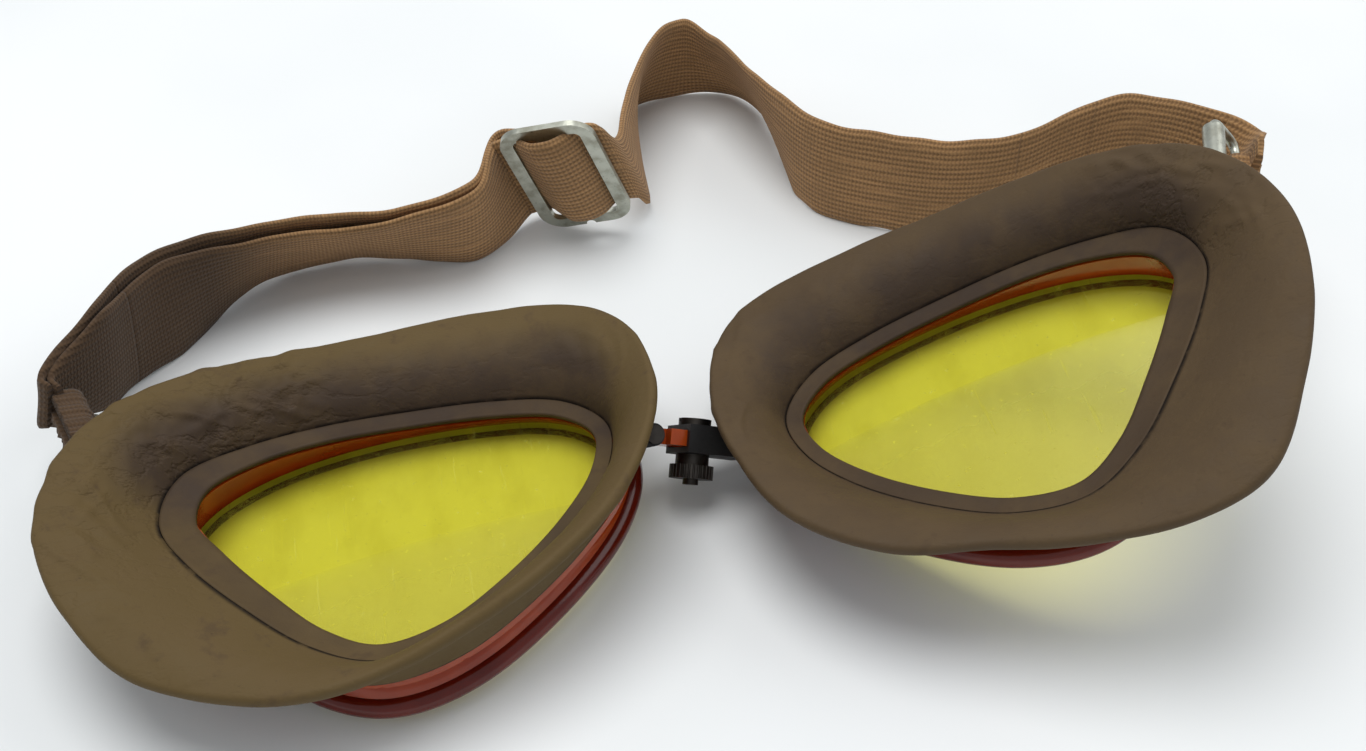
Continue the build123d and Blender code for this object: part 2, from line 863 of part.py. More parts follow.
with BuildPart() as thumb_nut:
    with BuildSketch(bridge_level(nut_top)):
        with Locations((screw_place, 0)):
            Circle(nut_collar_radius)
    extrude(amount=-nut_collar_height)
    with BuildSketch(bridge_level(nut_top - nut_collar_height)):
        with Locations((screw_place, 0)):
            Circle(nut_flange_radius)
            with PolarLocations(nut_flange_radius, round(full_turn / knurl_step_angle)):
                Circle(knurl_radius, mode=Mode.SUBTRACT)
    extrude(amount=-nut_flange_height)
    with BuildSketch(bridge_level(nut_top)):
        with Locations((screw_place, 0)):
            Circle(screw_radius + thread_clearance)
    extrude(amount=-overrun, mode=Mode.SUBTRACT)
keep(thumb_nut.part, "thumb_nut")

# The slide buckle stands on the strap's line, turned in its own plane
buckle_heading = radians(buckle_heading_angle)
buckle_turn = radians(buckle_turn_angle)
buckle_forward = Vector(cos(buckle_heading), sin(buckle_heading), 0)
buckle_along = buckle_forward * cos(buckle_turn) + Vector(0, 0, 1) * sin(buckle_turn)
buckle_lean = radians(buckle_lean_angle)
upright = Vector(0, 0, 1) * cos(buckle_turn) - buckle_forward * sin(buckle_turn)
facing = Vector(sin(buckle_heading), -cos(buckle_heading), 0)
buckle_up = upright * cos(buckle_lean) + facing * sin(buckle_lean)
buckle_front = facing * cos(buckle_lean) - upright * sin(buckle_lean)
buckle_plane = Plane(
    origin=(
        buckle_span_share * strap_half_span,
        buckle_reach_share * strap_reach,
        buckle_lift_share * strap_width,
    ),
    x_dir=buckle_along,
    z_dir=buckle_front,
)
with BuildPart() as strap_buckle:
    window = (buckle_length - 2 * buckle_border - buckle_bar) / 2
    with BuildSketch(buckle_plane.offset(-buckle_thickness / 2)):
        RectangleRounded(buckle_length, buckle_height, buckle_corner)
        with GridLocations(window + buckle_bar, 0, 2, 1):
            RectangleRounded(
                window, buckle_height - 2 * buckle_border, window_corner, mode=Mode.SUBTRACT
            )
        with Locations((0, -buckle_height / 2)):
            Circle(buckle_notch_radius, mode=Mode.SUBTRACT)
    extrude(amount=buckle_thickness)
keep(strap_buckle.part, "strap_buckle")


def buckle_station(forward, front):
    """A station of the webbing inside the buckle, moved along it and to its front."""
    place = buckle_plane.from_local_coords(Vector(forward, 0, front))
    return (place, buckle_plane.x_dir, buckle_up, strap_width)


layer_step = (strap_thickness + layer_gap) / 2
over_bar = (buckle_thickness + strap_thickness) / 2 + layer_gap
bar_edge = buckle_bar / 2 + layer_gap
window_edge = buckle_length / 2 - buckle_border - layer_gap
buckle_exit = buckle_length / 2 + buckle_border
behind = over_bar + strap_thickness + layer_gap
inner_step = wire_radius + wrap_end_gap + strap_thickness / 2
outer_step = inner_step + strap_thickness + layer_gap

left_back = [wrap_end_station("left", outer_step, 1)]
left_back += [route_station(shares, -layer_step) for shares in left_route_shares]
left_back += [buckle_station(-buckle_exit, -behind), buckle_station(-window_edge, -behind)]
left_back += [buckle_station(-bar_edge, -over_bar), buckle_station(bar_edge, -over_bar)]
keep(webbing(left_back), "strap_left")

left_front = [wrap_end_station("left", inner_step, 1)]
left_front += [route_station(shares, layer_step) for shares in left_route_shares]
left_front += [buckle_station(-buckle_exit, -over_bar)]
keep(webbing(left_front), "strap_return")

middle = [buckle_station(-buckle_exit, -over_bar), buckle_station(-window_edge, -over_bar)]
middle += [buckle_station(-bar_edge, over_bar), buckle_station(bar_edge, over_bar)]
middle += [buckle_station(window_edge, -over_bar)]
middle += [route_station(shares, 0) for shares in middle_route_shares]
keep(webbing(middle), "strap_middle")

right = [route_station(shares, 0) for shares in middle_route_shares[-1:] + right_route_shares]
right += [wrap_end_station("right", inner_step, -1)]
keep(webbing(right), "strap_right")

# Everything moves so that the middle of the part's underside is the origin
boxes = [piece.bounding_box() for piece in pieces]
shift = Vector(
    -(min(box.min.X for box in boxes) + max(box.max.X for box in boxes)) / 2,
    -(min(box.min.Y for box in boxes) + max(box.max.Y for box in boxes)) / 2,
    -min(box.min.Z for box in boxes),
)
print("shift", shift)
for piece in pieces:
    placed = piece.moved(Location(shift))
    placed.label = piece.label
    export_step(placed, f"parts/{piece.label}.step")
    box = placed.bounding_box()
    print(piece.label, box.min, box.max, round(placed.volume, 1), placed.is_valid)

for side in sides:
    print(side, "hinge", hinge_place(side) + shift, pin_way)
    bar = axis_plane(side, 0)
    print(side, "loop axis", bar.origin + shift, loop_plane(side).x_dir)
print("slide", on_bridge(screw_place, 0, 0) + shift, bridge_along)
print("nut", on_bridge(screw_place, 0, nut_top) + shift, bridge_plane.z_dir)
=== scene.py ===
import math
import random

import bmesh
import bpy
import numpy as np
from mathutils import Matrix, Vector, noise


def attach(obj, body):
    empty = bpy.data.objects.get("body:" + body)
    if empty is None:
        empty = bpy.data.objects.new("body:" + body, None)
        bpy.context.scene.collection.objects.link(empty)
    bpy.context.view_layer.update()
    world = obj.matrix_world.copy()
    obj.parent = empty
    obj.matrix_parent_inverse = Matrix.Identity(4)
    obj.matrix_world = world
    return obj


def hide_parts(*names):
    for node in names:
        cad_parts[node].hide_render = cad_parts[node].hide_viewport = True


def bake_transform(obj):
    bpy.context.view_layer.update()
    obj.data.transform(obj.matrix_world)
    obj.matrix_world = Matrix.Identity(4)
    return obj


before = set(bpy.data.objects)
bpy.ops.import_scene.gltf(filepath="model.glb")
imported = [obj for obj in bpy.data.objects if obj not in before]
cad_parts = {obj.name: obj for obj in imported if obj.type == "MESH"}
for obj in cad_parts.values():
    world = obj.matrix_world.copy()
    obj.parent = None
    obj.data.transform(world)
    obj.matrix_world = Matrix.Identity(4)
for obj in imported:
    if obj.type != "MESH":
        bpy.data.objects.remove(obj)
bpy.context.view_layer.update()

# Flying goggles lying lens down on a pale table. Lengths in the tables are millimetres
# in the goggles' own fit frame, whose origin lies at fit_origin in the row frame.
mm = 0.001
fit_origin = np.array((1.74261, -4.42502, -0.032914))


def metres(points):
    """Fit-frame millimetres to row-frame metres."""
    return (np.asarray(points, float) + fit_origin) * mm


def tint(red, green, blue):
    """A colour as seen on a screen, 0 to 255, to the linear colour that a shader takes."""
    shares = [value / 255 for value in (red, green, blue)]
    linear = [s / 12.92 if s < 0.04045 else ((s + 0.055) / 1.055) ** 2.4 for s in shares]
    return (*linear, 1.0)


# The camera that the photo was matched with: degrees, metres and pixels of the photo
camera_azimuth = -10.6
camera_elevation = 44
camera_distance = 0.275
photo_focal_length = 1800
photo_width = 1366
sensor_width = 36


def place_camera():
    target = Vector(metres((0, 0, 0)))
    azimuth = math.radians(camera_azimuth)
    elevation = math.radians(camera_elevation)
    back = Vector((
        math.sin(azimuth) * math.cos(elevation),
        -math.cos(azimuth) * math.cos(elevation),
        math.sin(elevation),
    ))
    data = bpy.data.cameras.new("camera")
    data.lens = photo_focal_length / photo_width * sensor_width
    data.sensor_width = sensor_width
    data.clip_start = 0.01
    camera = bpy.data.objects.new("camera", data)
    camera.location = target + back * camera_distance
    camera.rotation_euler = (-back).to_track_quat("-Z", "Y").to_euler()
    bpy.context.scene.collection.objects.link(camera)
    bpy.context.scene.camera = camera


def area_light(name, place, size, power):
    """A round lamp aimed at the middle of the table."""
    data = bpy.data.lights.new(name, "AREA")
    data.shape = "DISK"
    data.size = size
    data.energy = power
    lamp = bpy.data.objects.new(name, data)
    lamp.location = place
    lamp.rotation_euler = (-Vector(place)).to_track_quat("-Z", "Y").to_euler()
    bpy.context.scene.collection.objects.link(lamp)


class Value:
    """One output socket; arithmetic on it adds the Math nodes."""

    def __init__(self, paint, socket):
        self.paint = paint
        self.socket = socket

    def math(self, operation, *others):
        return self.paint.node("ShaderNodeMath", {"operation": operation}, [self, *others])

    def __add__(self, other):
        return self.math("ADD", other)

    def __sub__(self, other):
        return self.math("SUBTRACT", other)

    def __mul__(self, other):
        return self.math("MULTIPLY", other)

    def __rsub__(self, other):
        return self.paint.node("ShaderNodeMath", {"operation": "SUBTRACT"}, [other, self])

    __radd__ = __add__
    __rmul__ = __mul__

    def ramp(self, low, high):
        """0 below low, 1 above high, and smooth between them."""
        return self.paint.node(
            "ShaderNodeMapRange", {"interpolation_type": "SMOOTHSTEP"}, [self, low, high]
        )

    def wave(self, length):
        """0 to 1 and back over each length."""
        return (self * (2 * math.pi / length)).math("SINE") * 0.5 + 0.5


class Paint:
    """A material and the methods that add its nodes."""

    def __init__(self, name, **settings):
        self.material = bpy.data.materials.new(name)
        self.material.use_nodes = True
        self.tree = self.material.node_tree
        self.tree.nodes.clear()
        self.out = self.tree.nodes.new("ShaderNodeOutputMaterial")
        self.shader = self.tree.nodes.new("ShaderNodeBsdfPrincipled")
        self.tree.links.new(self.shader.outputs[0], self.out.inputs[0])
        self.set(**settings)

    def set(self, **settings):
        """Sets or links the shader's sockets, with words joined by underscores."""
        for name, value in settings.items():
            self.put(self.shader.inputs[name.replace("_", " ")], value)

    def put(self, socket, value):
        if isinstance(value, Value):
            self.tree.links.new(value.socket, socket)
        elif value is not None:
            socket.default_value = value

    def node(self, kind, settings=None, inputs=(), output=0):
        """Adds a node: its settings first, then the values or links of its sockets."""
        made = self.tree.nodes.new(kind)
        for name, value in (settings or {}).items():
            setattr(made, name, value)
        pairs = inputs.items() if isinstance(inputs, dict) else enumerate(inputs)
        for name, value in pairs:
            self.put(made.inputs[name], value)
        return Value(self, made.outputs[output])

    def place(self):
        """The place on the piece, in metres."""
        return self.node("ShaderNodeTexCoord", output="Object")

    def carried(self, name):
        """A value that the piece's mesh carries at its points."""
        return self.node("ShaderNodeAttribute", {"attribute_name": name}, output="Fac")

    def noise(self, where, size, detail=3.0, roughness=0.55, stretch=None):
        """Noise, 0 to 1, with features of about the given size in metres."""
        if stretch:
            where = self.node(
                "ShaderNodeVectorMath", {"operation": "MULTIPLY"}, [where, stretch]
            )
        return self.node(
            "ShaderNodeTexNoise",
            {},
            {"Vector": where, "Scale": 1 / size, "Detail": detail, "Roughness": roughness},
        )

    def split(self, vector, index):
        return self.node("ShaderNodeSeparateXYZ", {}, [vector], output=index)

    def mix(self, share, first, second):
        """One colour turning into another by a share."""
        return self.node(
            "ShaderNodeMix",
            {"data_type": "RGBA"},
            {0: share, 6: first, 7: second},
            output=2,
        )

    def bump(self, height, distance, strength=1.0, normal=None):
        """A bump from a height of 0 to 1 over a real distance in metres."""
        return self.node(
            "ShaderNodeBump",
            {},
            {"Height": height, "Distance": distance, "Strength": strength, "Normal": normal},
        )


def rubber_paint(name, warm):
    """Aged brown face rubber: painted shade makes the brow side of the roll dark brown, olive where
    it is lit.
    """
    paint = Paint(name, Specular_IOR_Level=0.22)
    where = paint.place()
    across = paint.carried("across")
    blotch = paint.noise(where, 0.014, 4)
    stain = paint.noise(where, 0.004, 5, 0.6)
    fleck = paint.noise(where, 0.0009, 3, 0.6)
    lit = paint.carried("lit")
    # Painted shade: flat is the share of the lit colour; where the carried lit weight is low, the
    # colour turns dark brown
    flat = (lit + (blotch - 0.5) * 0.5).ramp(0.28, 0.85)
    color = paint.mix(flat, tint(60, 47, 36), tint(*warm))
    faded = (blotch * 0.6 + stain * 0.4).ramp(0.42, 0.66)
    color = paint.mix(faded * 0.4, color, tint(94, 76, 50))
    color = paint.mix(stain.ramp(0.56, 0.72) * 0.4, color, tint(64, 50, 38))
    color = paint.mix(fleck.ramp(0.66, 0.78) * 0.4, color, tint(58, 45, 34))
    seam = 1 - across.ramp(0.0, 0.03)
    broken = paint.noise(where, 0.0022, 2).ramp(0.36, 0.5)
    color = paint.mix(seam * (0.35 + broken * 0.6), color, tint(26, 19, 14))
    grain = paint.noise(where, 0.0006, 3, 0.65)
    crease = paint.noise(where, 0.006, 4, 0.55, (1.0, 1.8, 1.0))
    folds = paint.node("ShaderNodeMath", {"operation": "ABSOLUTE"}, [crease - 0.5])
    fold_height = folds.ramp(0.0, 0.06) * paint.carried("wrinkled")
    soft = paint.bump(fold_height, 0.0005, 0.35)
    paint.set(
        Base_Color=color,
        Roughness=0.55 + stain * 0.3,
        Normal=paint.bump(grain, 0.0001, 0.4, soft),
    )
    return paint.material


def webbing_paint(name, color, shade, shaded_length=0.0):
    """Ribbed elastic webbing, drawn from the piece's own length and width in metres.

    It turns darker with painted shade from its start up to the shaded length."""
    paint = Paint(
        name, Roughness=0.92, Specular_IOR_Level=0.15, Sheen_Weight=0.08, Sheen_Roughness=0.6
    )
    weave = paint.node("ShaderNodeUVMap", {"uv_map": "weave"})
    along = paint.split(weave, 0)
    across = paint.split(weave, 1)
    rib = across.wave(0.00095)
    pick = (along + rib * 0.0002).wave(0.00062)
    strand = rib * 0.6 + pick * 0.4
    drift = paint.noise(weave, 0.006, 4, 0.6)
    fuzz = paint.noise(weave, 0.0006, 3, 0.7)
    base = paint.mix((strand * 0.6 + fuzz * 0.5).ramp(0.25, 0.85), tint(*shade), tint(*color))
    base = paint.mix(drift.ramp(0.45, 0.72) * 0.45, base, tint(*[v * 0.78 for v in color]))
    line = paint.noise(weave, 0.0011, 2, 0.5, (0.08, 1.0, 1.0))
    base = paint.mix(line.ramp(0.55, 0.7) * 0.3, base, tint(*[min(255, v * 1.18) for v in color]))
    # Painted shade: the webbing's first stretch along it is darkened, up to the given length
    if shaded_length:
        base = paint.mix(0.88 - along.ramp(shaded_length * 0.6, shaded_length) * 0.88, base, tint(60, 46, 35))
    paint.set(Base_Color=base, Normal=paint.bump(strand + fuzz * 0.5, 0.00022, 0.8))
    return paint.material


def metal_paint(name, color, dark, rough, metallic=1.0):
    """Worn metal: cloudy tarnish, fine scratches and small dark pits."""
    paint = Paint(name, Metallic=metallic)
    where = paint.place()
    cloud = paint.noise(where, 0.003, 4, 0.6)
    pit = paint.noise(where, 0.0006, 3, 0.6)
    scratch = paint.noise(where, 0.0008, 2, 0.5, (0.15, 1.0, 1.0))
    base = paint.mix(cloud.ramp(0.4, 0.7) * 0.6, tint(*color), tint(*dark))
    base = paint.mix(pit.ramp(0.64, 0.74) * 0.7, base, tint(*[v * 0.5 for v in dark]))
    paint.set(
        Base_Color=base,
        Roughness=rough + cloud * 0.2,
        Normal=paint.bump(scratch + pit * 0.5, 0.00006, 0.35),
    )
    return paint.material


def plastic_paint(name, deep, lit, glow, clear):
    """Moulded translucent plastic, with a painted glow higher up, where light comes through its
    thin walls.
    """
    paint = Paint(
        name,
        Specular_IOR_Level=0.32,
        Transmission_Weight=clear,
        IOR=1.45,
        Coat_Roughness=0.08,
        Subsurface_Weight=0.08,
        Subsurface_Radius=(0.004, 0.001, 0.0005),
        Subsurface_Scale=1.0,
    )
    where = paint.place()
    swirl = paint.noise(where, 0.009, 3)
    dust = paint.noise(where, 0.0012, 4, 0.6)
    height = paint.split(where, 2)
    base = paint.mix(swirl.ramp(0.3, 0.75), tint(*deep), tint(*lit))
    # Painted light: higher up the cup the colour turns to glow, for light coming through the thin
    # wall
    base = paint.mix(height.ramp(0.004, 0.013) * 0.5, base, tint(*glow))
    base = paint.mix(dust.ramp(0.6, 0.75) * 0.1, base, tint(70, 42, 30))
    paint.set(
        Base_Color=base,
        Roughness=0.1 + dust * 0.14,
        Coat_Weight=0.1 + swirl * 0.15,
        Normal=paint.bump(swirl, 0.0003, 0.25),
    )
    return paint.material


def lens_paint():
    """Thin yellow plate: tinted clear sheet under a little haze, dust and fine scratches."""
    paint = Paint("yellow lens plate", Specular_IOR_Level=0.5, IOR=1.5)
    where = paint.place()
    haze = paint.noise(where, 0.02, 4, 0.55)
    dust = paint.noise(where, 0.0011, 4, 0.65)
    scratch = paint.noise(where, 0.0007, 2, 0.5, (1.0, 0.06, 0.3))
    smear = paint.noise(where, 0.006, 3, 0.6, (1.0, 0.5, 1.0))
    base = paint.mix(smear.ramp(0.4, 0.7) * 0.5, tint(222, 221, 100), tint(200, 196, 76))
    paint.set(
        Base_Color=base,
        Roughness=0.07 + haze * 0.1,
        Normal=paint.bump(scratch + smear * 0.3, 0.00004, 0.3),
    )
    clear = paint.node("ShaderNodeBsdfTransparent", {}, [tint(244, 241, 196)])
    gloss = paint.node("ShaderNodeFresnel", {}, [1.5])
    share = (
        0.05
        + gloss * 0.9
        + haze.ramp(0.4, 0.75) * 0.07
        + dust.ramp(0.63, 0.72) * 0.3
        + scratch.ramp(0.66, 0.74) * 0.15
    )
    plate = Value(paint, paint.shader.outputs[0])
    blend = paint.node("ShaderNodeMixShader", {}, [share, clear, plate])
    paint.tree.links.new(blend.socket, paint.out.inputs[0])
    return paint.material


def floor_paint():
    """A matt white table with a few faint marks."""
    paint = Paint("white table", Roughness=0.7, Specular_IOR_Level=0.3)
    where = paint.place()
    cloud = paint.noise(where, 0.12, 3)
    color = paint.mix(cloud.ramp(0.3, 0.7), tint(228, 231, 231), tint(236, 238, 238))
    paint.set(Base_Color=color)
    return paint.material


def grid_mesh(name, points, close_around, close_across):
    """A smooth quad mesh over a grid of points, closed either way where asked.

    An open grid's first and last rows get end faces when its cross way is closed."""
    rows, columns = points.shape[:2]
    index = np.arange(rows * columns).reshape(rows, columns)
    down = np.roll(index, -1, 0) if close_around else index[1:]
    top = index if close_around else index[:-1]
    right_top = np.roll(top, -1, 1) if close_across else top[:, 1:]
    right_down = np.roll(down, -1, 1) if close_across else down[:, 1:]
    if not close_across:
        top = top[:, :-1]
        down = down[:, :-1]
    faces = np.stack([top, right_top, right_down, down], -1).reshape(-1, 4)
    faces = faces.tolist()
    if close_across and not close_around:
        faces += [index[0].tolist()[::-1], index[-1].tolist()]
    mesh = bpy.data.meshes.new(name)
    mesh.from_pydata(points.reshape(-1, 3).tolist(), [], faces)
    mesh.polygons.foreach_set("use_smooth", [len(face) == 4 for face in faces])
    mesh.update()
    made = bpy.data.objects.new(name, mesh)
    bpy.context.scene.collection.objects.link(made)
    return made


def face_outward(made):
    """Turns every face of a closed piece to point out of it."""
    solid = bmesh.new()
    solid.from_mesh(made.data)
    bmesh.ops.recalc_face_normals(solid, faces=solid.faces)
    solid.to_mesh(made.data)
    solid.free()


def carry_values(made, name, values):
    """Stores one value at each point of a mesh, for its material to read."""
    attribute = made.data.attributes.new(name, "FLOAT", "POINT")
    attribute.data.foreach_set("value", np.asarray(values, np.float32).ravel())


def lay_weave(made, flat_places):
    """Gives each corner of a piece its place on the flat webbing."""
    order = np.zeros(len(made.data.loops), int)
    made.data.loops.foreach_get("vertex_index", order)
    layer = made.data.uv_layers.new(name="weave")
    layer.data.foreach_set("uv", (flat_places * mm)[order].ravel())


def dress(made, material):
    made.data.materials.clear()
    made.data.materials.append(material)


def curve_through(rows, closed, count):
    """A smooth line of rows through the given ones, all their columns together."""
    rows = np.asarray(rows, float)
    total = len(rows)
    if closed:
        places = np.arange(count) / count * total
    else:
        places = np.linspace(0, total - 1, count)
    start = np.floor(places).astype(int)
    if not closed:
        start = np.minimum(start, total - 2)
    share = (places - start)[:, None]

    def row(step):
        picked = start + step
        return rows[picked % total] if closed else extended[picked + 1]

    extended = np.vstack([2 * rows[0] - rows[1], rows, 2 * rows[-1] - rows[-2]])
    before, here, after, beyond = (row(step) for step in (-1, 0, 1, 2))
    return 0.5 * (
        2 * here
        + (after - before) * share
        + (2 * before - 5 * here + 4 * after - beyond) * share**2
        + (3 * here - before - 3 * after + beyond) * share**3
    )


def unit(vectors):
    return vectors / np.linalg.norm(vectors, axis=-1, keepdims=True)


# The two cups: their places in the fit frame, and their tilts across the nose in degrees
cup_places = {"left": (-45.2, -24.7, 1.866), "right": (43.5, -24.0, 12.74)}
cup_tilts = {"left": -4.5, "right": -22.5}
temple_signs = {"left": -1, "right": 1}


def cup_axes(side):
    turn = math.radians(cup_tilts[side])
    along = np.array((math.cos(turn), 0, -math.sin(turn)))
    up = np.array((math.sin(turn), 0, math.cos(turn)))
    return along * temple_signs[side], np.array((0, 1.0, 0)), up


def on_cup(side, x, y, height):
    """Fit-frame places on a cup, with x counted towards its temple."""
    along, brow, up = cup_axes(side)
    x, y, height = (np.asarray(v, float)[..., None] for v in (x, y, height))
    return np.array(cup_places[side]) + x * along + y * brow + height * up


# Rim stations, temple first, then brow, nose and cheek: x and y of the lens edge, reach
# and height of the cushion's crest, height of the eyecup's rear rim, width of the collar
rim_stations = [
    (27.5, -2.5, 12.8, 20.0, 11.5, 4.4),
    (25.5, 5.0, 10.1, 19.6, 11.5, 3.8),
    (18.0, 10.0, 9.5, 17.8, 10.7, 2.8),
    (8.0, 12.8, 9.6, 15.8, 9.7, 2.4),
    (-4.0, 13.8, 10.3, 14.6, 8.6, 2.3),
    (-16.0, 13.2, 11.4, 14.2, 8.2, 2.3),
    (-26.0, 10.5, 11.9, 15.2, 8.3, 2.3),
    (-31.8, 4.0, 6.7, 18.2, 8.6, 2.2),
    (-30.5, -5.0, 7.2, 19.8, 9.1, 2.2),
    (-24.5, -14.0, 9.3, 19.2, 9.4, 2.4),
    (-16.0, -22.0, 8.9, 17.2, 9.4, 2.5),
    (-7.0, -27.8, 7.3, 15.0, 9.4, 2.6),
    (2.5, -29.5, 8.9, 13.8, 9.4, 2.8),
    (10.5, -25.5, 13.7, 13.8, 10.0, 3.3),
    (17.5, -18.0, 16.3, 15.6, 10.9, 4.2),
    (23.5, -10.0, 15.6, 18.2, 11.5, 4.8),
]
# Changes of the crest's reach and height on each cup, station by station
crest_changes = {
    "left": [
        (2.6, 0.3), (2.4, 0.2), (1.0, 0), (0, 0),
        (0, 0), (0.4, 0), (0, 0), (-0.4, 0),
        (-1.2, 0), (-2.4, 0.3), (-3.2, 0.8), (-3.2, 1.2),
        (-3.2, 1.0), (-2.3, 0.5), (1.0, 0.2), (2.2, 0.3),
    ],
    "right": [
        (-0.4, 0), (0, 0), (0, 0), (0, 0),
        (0, 0), (0, 0), (0.2, 0), (0.4, 0),
        (0.6, 0), (1.8, 0), (2.0, 0), (0.2, 0),
        (0.9, 0), (3.6, 0), (1.2, 0), (0.6, 0),
    ],
}
# The rubber's creases: how many, where they lie round the rim and across the section as
# shares, and their greatest depth
crease_zones = {
    "left": [
        (44, -0.04, 0.20, 0.28, 0.86, 0.42),
        (12, 0.20, 0.42, 0.5, 0.85, 0.14),
        (8, 0.8, 0.96, 0.5, 0.85, 0.14),
    ],
    "right": [
        (26, -0.02, 0.13, 0.45, 0.88, 0.22),
        (8, 0.38, 0.50, 0.6, 0.92, 0.22),
        (8, 0.17, 0.4, 0.5, 0.85, 0.10),
    ],
}
crease_seeds = {"left": 11, "right": 23}
# Where round the rim the rubber is wrinkled, and over how far, as shares of the rim
wrinkled_places = {"left": (0.08, 0.11), "right": (0.04, 0.05)}
# Rough lengths of the crest all round and of the rubber across, for the creases' sizes
crest_run = 215.0
section_reach = 15.0

# The cushion's and the collar's sections. The inset is from the lens edge to the aperture
aperture_inset = 2.7
skirt_thickness = 2.0
collar_thickness = 1.2
seam_gap = 0.15
foot_width = 2.6
edge_bulge = 1.1
hollow_share = 0.22
# How the top leaves the seam, on the cheek and more on the brow, and how it meets the
# crest: degrees from the straight way, and the handles' shares of the length
rise_turn, brow_turn, rise_share = 10, 30, 0.40
crest_turn, crest_share = -30, 0.38
top_spacing = 0.9
around_count = 384
top_count = 34
edge_count = 7
under_count = 14
collar_count = 9
# Uneven rubber: the coarse and the fine swell, as waves to the millimetre and height
coarse_swell = (0.09, 0.22)
fine_swell = (0.09 * 3.1, 0.05)


def station_ways():
    """The outward direction at each rim station, square to its neighbours' chord."""
    places = np.array([row[:2] for row in rim_stations])
    chords = np.roll(places, -1, 0) - np.roll(places, 1, 0)
    return unit(np.stack([chords[:, 1], -chords[:, 0]], -1))


def rim_samples(side):
    """Place, outward way, reach, crest, rim and collar width all round the rim."""
    rows = np.array(rim_stations, float)
    rows[:, 2:4] += np.array(crest_changes[side], float)
    smooth = curve_through(np.hstack([rows, station_ways()]), True, around_count)
    reach, crest, rim, collar = smooth[:, 2:6].T
    return smooth[:, :2], unit(smooth[:, 6:8]), reach, crest, rim, collar


def bezier(points, shares):
    """Bezier curves from lists of control points, one curve for each place round."""
    shares = np.asarray(shares)[None, :, None]
    points = [np.asarray(p)[:, None, :] for p in points]
    while len(points) > 1:
        points = [a * (1 - shares) + b * shares for a, b in zip(points, points[1:])]
    return points[0]


def turned(vectors, degrees):
    turn = np.radians(degrees)
    x, y = vectors[:, 0], vectors[:, 1]
    cos, sin = np.cos(turn), np.sin(turn)
    return np.stack([x * cos - y * sin, x * sin + y * cos], -1)


def brow_share(ways):
    """1 where the cushion's wall stands steep over the lens, 0 on the flat cheek side."""
    share = np.clip(0.35 + 0.9 * ways[:, 1], 0, 1)
    return share * share * (3 - 2 * share)


def on_sections(side, profiles, places, ways):
    """Section points (outward, height) at every place round, as fit-frame points."""
    x = places[:, None, 0] + profiles[..., 0] * ways[:, None, 0]
    y = places[:, None, 1] + profiles[..., 0] * ways[:, None, 1]
    return on_cup(side, x, y, profiles[..., 1])


def seam_rise(width, rim):
    """The height of the seam line: a wider collar climbs the cushion's roll."""
    return rim + 0.1 + 0.55 * np.maximum(width - 2.4, 0)


def creases(side, around, across):
    """Depth of the creases in the rubber, each with a low swell along one of its sides."""
    pick = random.Random(crease_seeds[side])
    depth = np.zeros((len(around), len(across)))
    for count, low, high, near, far, deepest in crease_zones[side]:
        for _ in range(count):
            centre = pick.uniform(low, high)
            height = pick.uniform(near, far)
            turn = pick.uniform(-1.2, 1.2)
            length = pick.uniform(2.0, 6.5)
            width = pick.uniform(0.55, 1.2)
            deep = deepest * pick.uniform(0.4, 1.0)
            bend = pick.uniform(-0.08, 0.08)
            a = ((around[:, None] - centre + 0.5) % 1 - 0.5) * crest_run
            b = (across[None, :] - height) * section_reach
            p = a * math.cos(turn) + b * math.sin(turn)
            q = -a * math.sin(turn) + b * math.cos(turn) + bend * p * p
            run = np.exp(-(p / length) ** 2)
            depth += deep * run * np.exp(-(q / width) ** 2)
            swell = np.exp(-((q - 1.7 * width) / (1.1 * width)) ** 2)
            depth -= 0.45 * deep * run * swell
    return depth


def surface_normals(points):
    """The way square to the surface at each point of a grid that is closed both ways."""
    along = np.roll(points, -1, 0) - np.roll(points, 1, 0)
    over = np.roll(points, -1, 1) - np.roll(points, 1, 1)
    return unit(np.cross(along, over))


